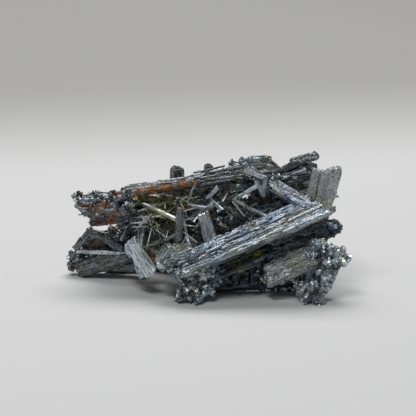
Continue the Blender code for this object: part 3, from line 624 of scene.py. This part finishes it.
def add_prism(piece, start, end, side, width, thick, chance, sides, tone, painted_glint, taper=0.7):
    """A small faceted crystal with a slanted end."""
    axis = (end - start).normalized()
    side = (side - axis * side.dot(axis)).normalized()
    face = axis.cross(side)
    turn = chance.uniform(0, math.tau)
    angles = [turn + math.tau * (i + chance.uniform(-0.2, 0.2)) / sides for i in range(sides)]
    slant = chance.uniform(-0.7, 0.7)
    points = []
    shoulder = end - axis * width * 0.25 * MM
    for middle, size, cut in ((start, 1.0, 0.0), (shoulder, 1.0, 0.2), (end, taper, slant)):
        for angle in angles:
            x, y = math.cos(angle) * width / 2 * size, math.sin(angle) * thick / 2 * size
            points.append(middle + (side * x + face * y + axis * cut * x * 0.8) * MM)
    faces = ring_faces(3, sides)
    faces.append(tuple(range(2 * sides, 3 * sides)))
    faces.append(tuple(reversed(range(sides))))
    band = chance.uniform(0, BAND_RANGE)
    length = (end - start).length / MM
    grain = [(band + i, band + r * length / 2, 0) for r in range(3) for i in range(sides)]
    piece.add([tuple(p) for p in points], faces, grain, tone, painted_glint)


def any_direction(chance):
    """A unit vector in any direction."""
    return Vector([chance.gauss(0, 1) for _ in range(3)]).normalized()


def around_lath(lath, chance):
    """A random place on a lath's skin, with the direction out of it."""
    angle = chance.uniform(0, math.tau)
    x, y = math.cos(angle), math.sin(angle)
    edge = max(abs(x), abs(y))
    x, y = x / edge * lath.width / 2 * 0.95, y / edge * lath.thick / 2 * 0.95
    spot = lath.foot.lerp(lath.tip, chance.uniform(0.01, 0.99)) + (lath.side * x + lath.face * y) * MM
    return spot, (lath.side * x * lath.thick + lath.face * y * lath.width).normalized()


def lie_on(lath, spot, direction, long, sunk, foot_gap, tip_gap):
    """Start and end of a small crystal near a spot on a lath, moved along it to stay between its ends."""
    length = (lath.tip - lath.foot).length / MM
    axis = (lath.tip - lath.foot).normalized()
    room = (spot - lath.foot).dot(axis) / MM
    slide = min(max(room, long * 0.5 + foot_gap), length - long * 0.5 - tip_gap) - room
    start = spot + axis * slide * MM - direction * long * 0.5 * MM - sunk
    return start, start + direction * long * MM


def add_chips(piece, lath, look, chance, painted_glint):
    """Small crystals on a lath: chips, mostly along it and a few that stand out of it, and longer strips."""
    length = (lath.tip - lath.foot).length / MM
    axis = (lath.tip - lath.foot).normalized()
    area = length * (lath.width + lath.thick) * 2
    for _ in range(int(area * look.chips)):
        spot, away = around_lath(lath, chance)
        stray = 0.35 if chance.random() < 0.75 else 1.5
        direction = (axis * chance.choice((-1, 1)) + any_direction(chance) * stray + away * 0.15).normalized()
        size = chance.uniform(0.35, 1.0) * min(1.0, lath.width / 2.5)
        long = size * chance.uniform(1.3, 4.2) * (0.45 if stray > 1 else 1)
        start, end = lie_on(lath, spot, direction, long, away * size * 0.25 * MM, 0.0, 0.2 * lath.width)
        sides = chance.choice((4, 5))
        tone = chance.random()
        glint = painted_glint * chance.random()
        add_prism(piece, start, end, away, size, size * 0.7, chance, sides, tone, glint)
    for _ in range(int(area * look.strips)):
        spot, away = around_lath(lath, chance)
        direction = (axis + any_direction(chance) * 0.06).normalized()
        width = chance.uniform(0.4, 1.3) * min(1.0, lath.width / 3)
        long = min(chance.uniform(3, 14), length * 0.45)
        start, end = lie_on(lath, spot, direction, long, away * width * 0.1 * MM, 0.5, 0.35 * lath.width)
        across = direction.cross(away)
        tone = chance.random()
        glint = painted_glint * chance.random()
        add_prism(piece, start, end, across, width, width * 0.6, chance, 6, tone, glint)


def add_lump(piece, knot, chance):
    """A knot of short crystals that stand out of one point, with finer ones over them."""
    centre = place(*knot.at)
    for kind in KNOT_CRYSTALS:
        for _ in range(kind.count):
            out = any_direction(chance)
            reach = knot.radius * chance.uniform(kind.low, kind.high)
            thick = knot.radius * kind.width * chance.uniform(0.6, 1.2)
            start = centre + out * reach * kind.root * MM
            direction = (out + any_direction(chance) * kind.stray).normalized()
            end = start + direction * reach * kind.length * MM
            # a few crystals of a knot get a painted glint
            glint = GLINT_BRIGHT if chance.random() < GLINT_CHANCE else 0.0
            side = any_direction(chance)
            tone = chance.uniform(-0.3, 1.2)
            add_prism(piece, start, end, side, thick, thick * 0.8, chance, kind.sides, tone, glint, 0.62)


def add_needles(piece, node, chance):
    """Hair-fine needles that lean out of the tangle's crystals, mostly towards the front."""
    cores = [c for c in SPRAY[node] if isinstance(c, Blade) and c.width > NEEDLE_CORE_WIDTH]
    for _ in range(NEEDLES_TRIED):
        core = chance.choice(cores)
        root = place(*core.foot).lerp(place(*core.tip), chance.uniform(0.02, 0.98))
        root += any_direction(chance) * core.width * chance.uniform(0.3, 0.9) * MM
        direction = any_direction(chance)
        direction.y = -abs(direction.y) * 0.6
        direction.normalize()
        long = chance.uniform(4, 13)
        width = chance.uniform(0.3, 0.8)
        start, end = root - direction * long * 0.2 * MM, root + direction * long * 0.8 * MM
        too_high = any(tip.z > NEEDLE_ROOF + NEEDLE_ROOF_RISE * tip.x for tip in (start, end))
        if too_high or min(start.z, end.z) < NEEDLE_LOWEST or end.y < NEEDLE_FRONT:
            continue
        side = any_direction(chance)
        tone = chance.random()
        # about half the needles get a painted glint
        glint = chance.choice((0.0, 0.0, 0.3, 1.0))
        add_prism(piece, start, end, side, width, width * 0.7, chance, 4, tone, glint, 0.6)


def spots_at(points, spots):
    """How strongly each point lies in the stained places."""
    across = points[:, 0] / MM + MIDDLE_ACROSS
    up = points[:, 2] / MM * VIEWER_UP.z + (points[:, 1] / MM + MIDDLE_BACK) * VIEWER_UP.y
    total = np.zeros(len(points))
    for x, y, radius, strength in spots:
        total = np.maximum(total, strength * np.exp(-((across - x) ** 2 + (up - y) ** 2) / radius**2))
    return total


def finish_piece(piece, node):
    """Make the grown piece an object that stands in for the node's solid."""
    look = LOOKS[node]
    points = np.vstack(piece.points)
    values = np.vstack(piece.values)
    points[:, 2] = np.maximum(points[:, 2], FLOOR)
    mesh = bpy.data.meshes.new(node + "_crystals")
    mesh.from_pydata(points.tolist(), [], piece.faces)
    stain = {
        "tone": values[:, 3],
        "painted_glint": values[:, 4],
        "rust": np.clip(spots_at(points, RUST_SPOTS) + look.rust * 0.6, 0, 1),
        "blue": np.clip(spots_at(points, BLUE_SPOTS) + look.blue * 0.25, 0, 1),
        "gold": spots_at(points, GOLD_SPOTS),
    }
    for name, numbers in stain.items():
        layer = mesh.attributes.new(name, "FLOAT", "POINT")
        layer.data.foreach_set("value", np.asarray(numbers, np.float32))
    layer = mesh.attributes.new("grain", "FLOAT_VECTOR", "POINT")
    layer.data.foreach_set("vector", np.ascontiguousarray(values[:, :3], np.float32).ravel())
    mesh.validate()
    obj = bpy.data.objects.new(node + "_crystals", mesh)
    bpy.context.scene.collection.objects.link(obj)
    mesh.materials.append(stibnite(node, look))
    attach(obj, "root")
    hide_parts(node)


class Nodes:
    """Short ways to add and wire the nodes of one material."""

    def __init__(self, name):
        self.material = bpy.data.materials.new(name)
        self.material.use_nodes = True
        self.tree = self.material.node_tree
        self.shader = self.tree.nodes["Principled BSDF"]

    def add(self, kind, **settings):
        node = self.tree.nodes.new(kind)
        for name, value in settings.items():
            setattr(node, name, value)
        return node

    def link(self, source, target):
        self.tree.links.new(source, target)

    def put(self, socket, value):
        if isinstance(value, bpy.types.NodeSocket):
            self.link(value, socket)
        else:
            socket.default_value = value

    def attribute(self, name, vector=False):
        node = self.add("ShaderNodeAttribute", attribute_name=name)
        return node.outputs["Vector" if vector else "Fac"]

    def math(self, operation, a, b, clamp=False):
        node = self.add("ShaderNodeMath", operation=operation, use_clamp=clamp)
        for socket, value in zip(node.inputs, (a, b)):
            self.put(socket, value)
        return node.outputs[0]

    def mix(self, factor, a, b, mode="MIX"):
        node = self.add("ShaderNodeMix", data_type="RGBA", blend_type=mode)
        self.put(node.inputs[0], factor)
        for socket, value in ((node.inputs[6], a), (node.inputs[7], b)):
            self.put(socket, (*value, 1) if isinstance(value, tuple) else value)
        return node.outputs[2]

    def noise(self, vector, scale, detail, rough):
        node = self.add("ShaderNodeTexNoise")
        self.put(node.inputs["Vector"], vector)
        node.inputs["Scale"].default_value = scale
        node.inputs["Detail"].default_value = detail
        node.inputs["Roughness"].default_value = rough
        return node.outputs["Fac"]

    def stretched(self, vector, scale):
        node = self.add("ShaderNodeMapping")
        self.put(node.inputs["Vector"], vector)
        node.inputs["Scale"].default_value = scale
        return node.outputs["Vector"]

    def ramp(self, factor, low, high, out_low=0.0, out_high=1.0):
        node = self.add("ShaderNodeMapRange")
        for socket, value in zip(node.inputs, (factor, low, high, out_low, out_high)):
            self.put(socket, value)
        return node.outputs[0]


def stibnite(name, look):
    """Lead-grey metal, streaked along the grain, with dull, rusty, blue and yellow-green places, painted
    shade in its grooves and on shaded crystals, and whitish painted highlights.
    """
    n = Nodes(name)
    grain = n.attribute("grain", vector=True)
    where = n.add("ShaderNodeTexCoord").outputs["Object"]
    streaks = n.noise(n.stretched(grain, (2.2, 0.22, 1.0)), 1.0, 4.0, 0.7)
    broad = n.noise(n.stretched(grain, (0.95, 0.12, 1.0)), 1.0, 3.0, 0.6)
    fine = n.noise(n.stretched(grain, (6.0, 0.6, 1.0)), 1.0, 2.0, 0.6)
    patch = n.noise(where, 700.0, 3.0, 0.65)
    specks = n.noise(where, 1500.0, 2.0, 0.6)

    # the metal, darker and paler along its streaks, with painted shade in its grooves and on shaded crystals,
    # and a whitish painted highlight streaked with near-black where the painted glint value is high
    light = n.math("ADD", n.math("MULTIPLY", streaks, 0.35), n.math("MULTIPLY", n.attribute("tone"), 0.35))
    light = n.math("ADD", light, n.math("MULTIPLY", n.math("SUBTRACT", broad, 0.3), 0.5))
    light = n.math("ADD", light, n.math("MULTIPLY", n.math("SUBTRACT", specks, 0.5), 0.5))
    light = n.ramp(light, 0.22, 0.72)
    dark = tuple((0.02 + 0.14 * look.tone) * k for k in (0.90, 1.0, 1.10))
    pale = tuple((0.14 + 0.80 * look.tone) * k for k in (0.90, 0.98, 1.05))
    metal = n.mix(light, dark, pale)
    # the painted highlight: near-white with near-black lines along the grain, in place of the metal's glints
    glints = n.math("ADD", n.math("MULTIPLY", broad, 0.75), n.math("MULTIPLY", streaks, 0.25))
    silver = n.mix(n.ramp(glints, 0.40, 0.47), (0.012, 0.014, 0.017), (0.97, 0.985, 1.0))
    metal = n.mix(n.attribute("painted_glint"), metal, silver)

    # dull, earthy places, and a slight olive or blue cast
    dull = n.ramp(patch, 0.64 - 0.30 * look.dull, 0.76 - 0.24 * look.dull)
    dull = n.math("MULTIPLY", dull, min(1.0, 0.3 + look.dull))
    dark_earth = tuple((0.02 + 0.06 * look.tone) * k for k in (1.0, 0.99, 0.96))
    pale_earth = tuple((0.12 + 0.62 * look.tone) * k for k in (1.0, 0.99, 0.94))
    earth = n.mix(n.ramp(specks, 0.3, 0.68), dark_earth, pale_earth)
    colour = n.mix(n.math("MULTIPLY", dull, 0.75), metal, earth)
    hue = n.noise(where, 160.0, 2.0, 0.5)
    hue = n.math("ADD", hue, n.math("MULTIPLY", n.attribute("painted_glint"), 0.2))
    colour = n.mix(n.ramp(hue, 0.50, 0.38), colour, (1.0, 0.975, 0.86), "MULTIPLY")
    colour = n.mix(n.ramp(hue, 0.52, 0.64), colour, (0.88, 0.96, 1.0), "MULTIPLY")

    # rust, blue tarnish and yellow-green
    crust = n.noise(where, 1300.0, 3.0, 0.7)
    rust = n.math("ADD", n.math("MULTIPLY", n.attribute("rust"), 0.6), n.math("MULTIPLY", crust, 0.8))
    rust = n.math("ADD", rust, n.ramp(n.attribute("tone"), 0.0, 1.0, 0.15, -0.15))
    rust = n.ramp(rust, 0.74, 0.84)
    orange = n.mix(n.ramp(streaks, 0.45, 0.58), (0.34, 0.11, 0.035), (0.48, 0.24, 0.09))
    rusty = n.mix(n.ramp(patch, 0.42, 0.58), (0.045, 0.022, 0.014), orange)
    colour = n.mix(n.math("MULTIPLY", rust, 0.9, clamp=True), colour, rusty)
    blue = n.math("MULTIPLY", n.attribute("blue"), n.ramp(streaks, 0.48, 0.60))
    colour = n.mix(n.math("MULTIPLY", blue, 0.8, clamp=True), colour, (0.05, 0.15, 0.42))
    gold = n.math("MULTIPLY", n.attribute("gold"), n.ramp(specks, 0.42, 0.58))
    colour = n.mix(n.math("MULTIPLY", gold, 0.8, clamp=True), colour, (0.80, 0.72, 0.16))
    n.link(colour, n.shader.inputs["Base Color"])

    # metallic and smooth, apart from the dull and rusty places; less metallic and a little rougher under the
    # painted highlight, so that it shows white
    without_painted_glint = n.math("SUBTRACT", 1.0, n.attribute("painted_glint"))
    matte = n.math("MAXIMUM", n.math("MULTIPLY", dull, without_painted_glint), rust)
    metallic = n.ramp(matte, 0.0, 1.0, 0.95, 0.15)
    metallic = n.math("SUBTRACT", metallic, n.math("MULTIPLY", n.attribute("painted_glint"), 0.6))
    n.link(metallic, n.shader.inputs["Metallic"])
    rough = n.ramp(fine, 0.3, 0.7, 0.16, 0.40)
    rough = n.math("ADD", rough, n.math("MULTIPLY", n.attribute("painted_glint"), 0.12))
    rough = n.math("MAXIMUM", rough, n.math("MULTIPLY", matte, 0.65))
    n.link(rough, n.shader.inputs["Roughness"])

    relief = n.math("ADD", n.math("MULTIPLY", fine, 0.6), n.math("MULTIPLY", specks, 0.5))
    bump = n.add("ShaderNodeBump")
    bump.inputs["Strength"].default_value = 0.6
    bump.inputs["Distance"].default_value = 0.0003
    n.link(relief, bump.inputs["Height"])
    n.link(bump.outputs["Normal"], n.shader.inputs["Normal"])
    return n.material


def grow_all():
    """Grow the crystals of every node, each with a fixed seed of its own."""
    for node, crystals in SPRAY.items():
        look = LOOKS[node]
        piece = Growth()
        for number, crystal in enumerate(crystals + MORE.get(node, [])):
            chance = random.Random(f"{node}/{number}")
            detail = random.Random(f"{node}/{number}/detail")
            if isinstance(crystal, Lump):
                add_lump(piece, crystal, detail)
                continue
            for lath in laths_of(crystal, chance):
                # single needles get a random painted glint
                if crystal.width <= NEEDLE_WIDTH:
                    add_lath(piece, lath, look, detail, detail.uniform(0.5, 1.0))
                    continue
                painted_sheen = PAINTED_SHEEN.get((node, number), PAINTED_SHEEN.get(node, 0.0))
                add_lath(piece, lath, look, detail, painted_sheen, PAINTED_SHADE.get((node, number), 0.0))
                add_chips(piece, lath, look, detail, painted_sheen * CHIP_PAINTED_SHEEN)
        if node == "needle_tangle":
            add_needles(piece, node, random.Random("needles"))
        finish_piece(piece, node)


def paper():
    """A pale paper floor whose colour darkens softly far behind the specimen, as painted shade."""
    r = PAPER_REACH
    mesh = bpy.data.meshes.new("paper")
    mesh.from_pydata([(-r, -r, 0), (r, -r, 0), (r, r, 0), (-r, r, 0)], [], [(0, 1, 2, 3)])
    obj = bpy.data.objects.new("paper", mesh)
    bpy.context.scene.collection.objects.link(obj)
    n = Nodes("paper")
    where = n.add("ShaderNodeSeparateXYZ")
    n.link(n.add("ShaderNodeTexCoord").outputs["Object"], where.inputs[0])
    depth = n.math("ADD", where.outputs["Y"], n.math("MULTIPLY", where.outputs["X"], PAPER_FADE_SKEW))
    far = n.add("ShaderNodeMapRange", interpolation_type="SMOOTHSTEP")
    for socket, value in zip(far.inputs, (depth, *PAPER_FADE, 0.0, 1.0)):
        n.put(socket, value)
    n.link(n.mix(far.outputs[0], PAPER_NEAR, PAPER_FAR_SHADE), n.shader.inputs["Base Color"])
    n.shader.inputs["Roughness"].default_value = 0.9
    n.shader.inputs["Specular IOR Level"].default_value = 0.2
    mesh.materials.append(n.material)


def softbox(name, location, aim, size, power):
    """A rectangular light that faces a place."""
    light = bpy.data.lights.new(name, "AREA")
    light.shape = "RECTANGLE"
    light.size, light.size_y = size
    light.energy = power
    obj = bpy.data.objects.new(name, light)
    obj.location = location
    obj.rotation_euler = (Vector(aim) - Vector(location)).to_track_quat("-Z", "Y").to_euler()
    bpy.context.scene.collection.objects.link(obj)


def camera():
    """A long lens that looks down at the tilt of the layout."""
    data = bpy.data.cameras.new("camera")
    data.sensor_width = SENSOR_MM
    data.lens = SENSOR_MM * CAMERA_DISTANCE / CAMERA_VIEW
    data.clip_end = 20
    obj = bpy.data.objects.new("camera", data)
    obj.location = place(*CAMERA_AIM) + TO_VIEWER * CAMERA_DISTANCE
    obj.rotation_euler = (-TO_VIEWER).to_track_quat("-Z", "Y").to_euler()
    bpy.context.scene.collection.objects.link(obj)
    bpy.context.scene.camera = obj


def studio():
    """A dim room with a light above and behind the specimen and a weaker one above the viewer's left."""
    world = bpy.data.worlds.new("room")
    bpy.context.scene.world = world
    world.use_nodes = True
    background = world.node_tree.nodes["Background"]
    background.inputs["Color"].default_value = ROOM_COLOUR
    background.inputs["Strength"].default_value = ROOM_STRENGTH
    softbox("overhead", location=(0.0, 0.42, 1.0), aim=(0, 0, 0), size=(0.9, 0.5), power=10.0)
    softbox("front", location=(-0.3, -0.42, 1.15), aim=(0, 0, 0.03), size=(0.45, 0.3), power=5.2)
    bpy.context.scene.view_settings.view_transform = "Standard"


grow_all()
paper()
studio()
camera()
